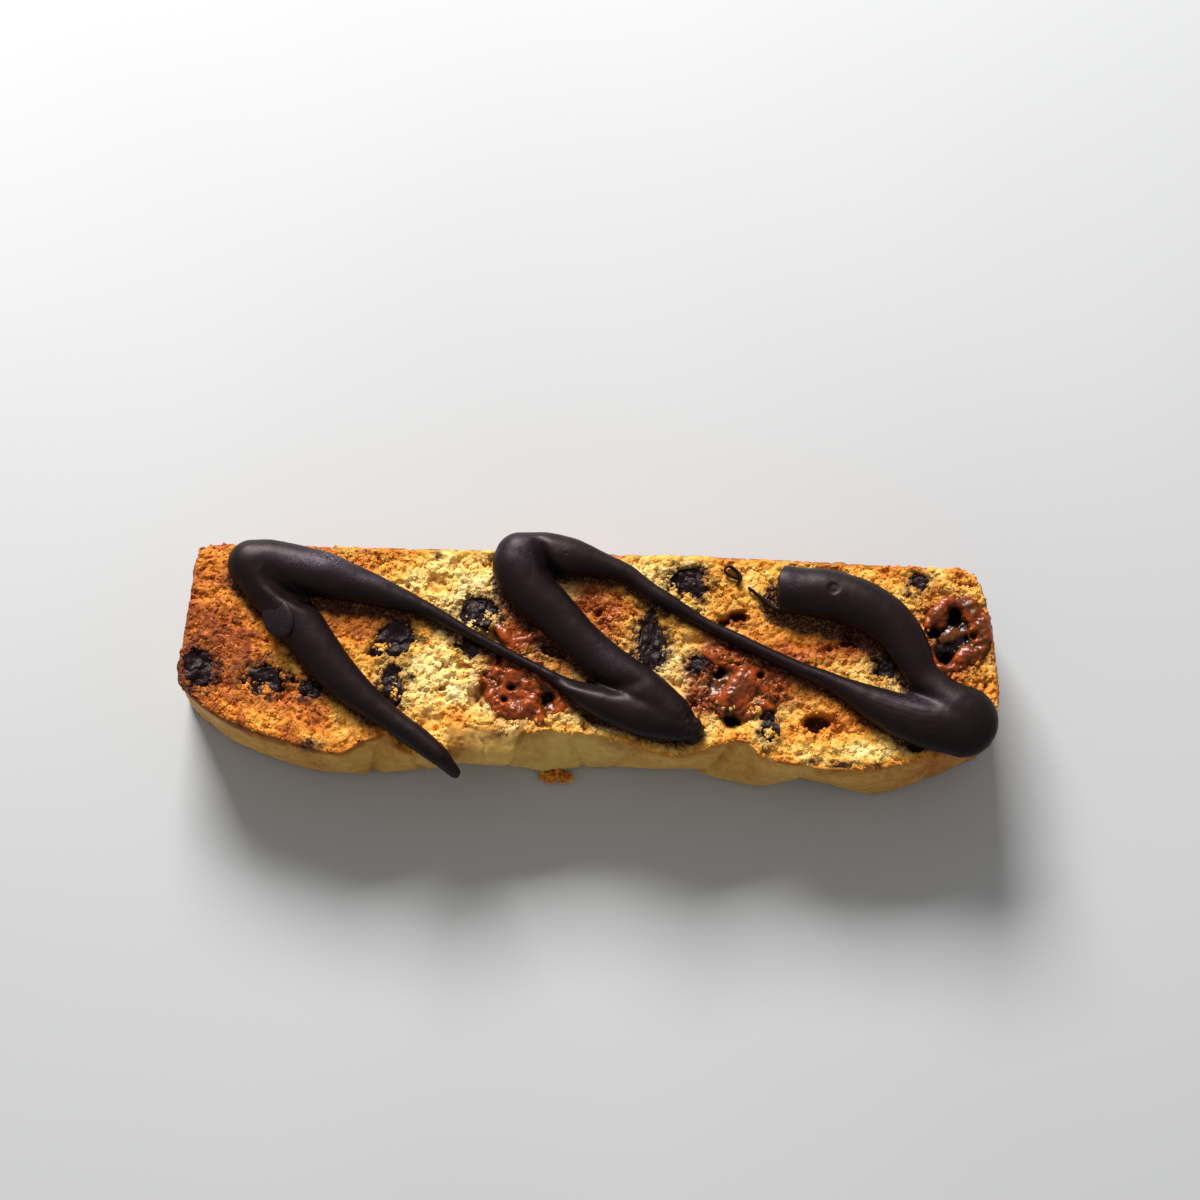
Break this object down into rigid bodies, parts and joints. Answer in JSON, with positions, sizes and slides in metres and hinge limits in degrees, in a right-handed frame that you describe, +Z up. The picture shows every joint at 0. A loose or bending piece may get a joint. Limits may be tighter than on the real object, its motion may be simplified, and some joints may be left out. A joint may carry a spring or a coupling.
{
  "type": "biscotti",
  "caption": "Long slice of biscotti lying on its cut face, with chocolate and caramel chunks in the crumb and dark chocolate piped over it in a zigzag.",
  "frame": {"origin": "middle of the underside of the box around the whole slice", "axes": "+X along the slice, +Y towards the flat baked base, +Z up from the underside to the piped cut face"},
  "size_m": [0.1396, 0.0424, 0.0225],
  "materials": {
    "crumb": "matt, open toasted crumb with a smooth pale crust",
    "piped_chocolate": "satin, smooth set dark chocolate",
    "chocolate_chunk": "matt, broken dark chocolate",
    "caramel": "glossy, set caramel"
  },
  "bodies": {
    "root": {"biscuit": "crumb", "chocolate_drizzle": "piped_chocolate", "chocolate_chunk_01": "chocolate_chunk", "chocolate_chunk_02": "chocolate_chunk", "chocolate_chunk_03": "chocolate_chunk", "chocolate_chunk_04": "chocolate_chunk", "chocolate_chunk_05": "chocolate_chunk", "chocolate_chunk_06": "chocolate_chunk", "chocolate_chunk_07": "chocolate_chunk", "chocolate_chunk_08": "chocolate_chunk", "chocolate_chunk_09": "chocolate_chunk", "chocolate_chunk_10": "chocolate_chunk", "chocolate_chunk_11": "chocolate_chunk", "chocolate_chunk_12": "chocolate_chunk", "chocolate_chunk_13": "chocolate_chunk", "chocolate_chunk_14": "chocolate_chunk", "chocolate_chunk_15": "chocolate_chunk", "chocolate_chunk_16": "chocolate_chunk", "chocolate_chunk_17": "chocolate_chunk", "chocolate_chunk_18": "chocolate_chunk", "chocolate_chunk_19": "chocolate_chunk", "chocolate_chunk_20": "chocolate_chunk", "caramel_chunk_01": "caramel", "caramel_chunk_02": "caramel", "caramel_chunk_03": "caramel", "caramel_chunk_04": "caramel", "caramel_chunk_05": "caramel"}
  },
  "joints": []
}
